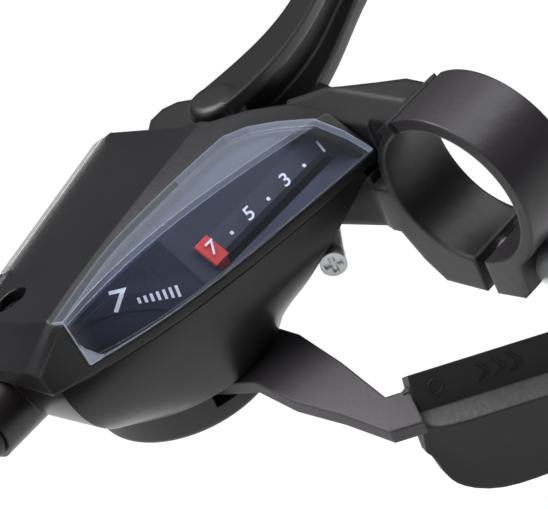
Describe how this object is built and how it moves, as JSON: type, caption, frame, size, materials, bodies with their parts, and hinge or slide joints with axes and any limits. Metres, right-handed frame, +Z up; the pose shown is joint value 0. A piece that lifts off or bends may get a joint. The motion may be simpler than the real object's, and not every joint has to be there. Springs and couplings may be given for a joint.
{
  "type": "flat-bar brake and shift lever",
  "caption": "Right-hand handlebar unit joining a brake lever, a thumb shift lever with a clear gear window and a split clamp for a flat bar.",
  "frame": {"origin": "centre of the handlebar clamp's bore", "axes": "+X outboard along the bar, +Y forward, +Z up"},
  "size_m": [0.1616, 0.0882, 0.0547],
  "materials": {
    "black_casting": "satin",
    "black_shell": "satin",
    "grip_plastic": "textured",
    "adjuster_plastic": "matte",
    "clear_lens": "clear",
    "dial_navy": "satin",
    "pointer_red": "gloss",
    "badge_silver": "brushed",
    "grey_steel": "satin",
    "zinc_steel": "zinc plated",
    "drum_plastic": "matte"
  },
  "bodies": {
    "base": {"bracket": "black_casting", "clamp_band": "black_casting", "clamp_bolt": "zinc_steel", "brake_pivot_pin": "zinc_steel", "brake_return_spring": "zinc_steel", "brake_adjuster_locknut": "adjuster_plastic", "upper_cover": "black_shell", "cover_screw": "zinc_steel", "lens": "clear_lens", "badge_plate": "badge_silver", "dial_plate": "dial_navy", "lower_housing": "black_shell", "unit_bolt": "zinc_steel", "base_plate": "zinc_steel", "main_axle": "zinc_steel", "axle_nut": "zinc_steel", "bottom_cap": "black_shell", "drum_spring": "zinc_steel", "stop_pawl_pin": "zinc_steel", "thumb_return_spring": "zinc_steel", "release_pin": "zinc_steel"},
    "brake_lever": {"brake_lever": "black_casting"},
    "reach_screw": {"reach_screw": "zinc_steel"},
    "brake_adjuster": {"brake_adjuster": "adjuster_plastic"},
    "shift_adjuster": {"shift_adjuster": "adjuster_plastic"},
    "thumb_lever": {"thumb_arm": "grey_steel", "thumb_pad": "grip_plastic", "feed_pawl_pin": "zinc_steel"},
    "feed_pawl": {"feed_pawl": "zinc_steel"},
    "drum": {"cable_drum": "drum_plastic"},
    "indicator": {"indicator": "pointer_red"},
    "release_lever": {"release_arm": "grey_steel", "release_pad": "grip_plastic"},
    "stop_pawl": {"stop_pawl": "zinc_steel"}
  },
  "joints": [
    {"name": "brake_pull", "type": "hinge", "parent": "base", "child": "brake_lever", "pos_m": [0.01, 0.035, -0.0083], "axis": [0, 0, -1], "range_deg": [0, 28], "stiffness_Nm_per_rad": 0.4, "springref_deg": -14.32},
    {"name": "reach_turn", "type": "hinge", "parent": "base", "child": "reach_screw", "pos_m": [-0.0142, 0.0183, -0.0068], "axis": [0.7001, 0.7141, 0], "continuous": true},
    {"name": "brake_cable_adjust", "type": "hinge", "parent": "base", "child": "brake_adjuster", "pos_m": [-0.036, 0.061, -0.004], "axis": [1, 0, 0], "continuous": true},
    {"name": "shift_cable_adjust", "type": "hinge", "parent": "base", "child": "shift_adjuster", "pos_m": [-0.066, 0.043, -0.0036], "axis": [1, 0, 0], "continuous": true},
    {"name": "thumb_push", "type": "hinge", "parent": "base", "child": "thumb_lever", "pos_m": [-0.03, 0.04, -0.0156], "axis": [0, 0, 1], "range_deg": [0, 40], "stiffness_Nm_per_rad": 0.15, "springref_deg": -17.19},
    {"name": "feed_pawl_lift", "type": "hinge", "parent": "thumb_lever", "child": "feed_pawl", "pos_m": [-0.02627, 0.02976, -0.0097], "axis": [0, 0, -1], "range_deg": [0, 10], "stiffness_Nm_per_rad": 0.002, "springref_deg": -5.73},
    {"name": "drum_turn", "type": "hinge", "parent": "base", "child": "drum", "pos_m": [-0.03, 0.04, -0.006], "axis": [0, 0, 1], "range_deg": [0, 112]},
    {"name": "indicator_slide", "type": "slide", "parent": "base", "child": "indicator", "axis": [1, 0, 0], "range_m": [0, 0.0228]},
    {"name": "release_pull", "type": "hinge", "parent": "base", "child": "release_lever", "pos_m": [-0.02065, 0.04903, -0.0098], "axis": [0, 0, -1], "range_deg": [0, 12], "stiffness_Nm_per_rad": 0.05, "springref_deg": -22.92},
    {"name": "stop_pawl_lift", "type": "hinge", "parent": "base", "child": "stop_pawl", "pos_m": [-0.03688, 0.04983, -0.0036], "axis": [0, 0, -1], "range_deg": [0, 10]}
  ],
  "couplings": [
    {"joint": "indicator_slide", "follows": "drum_turn", "m_per_rad": 0.011663},
    {"joint": "stop_pawl_lift", "follows": "release_pull", "ratio": 0.8}
  ]
}
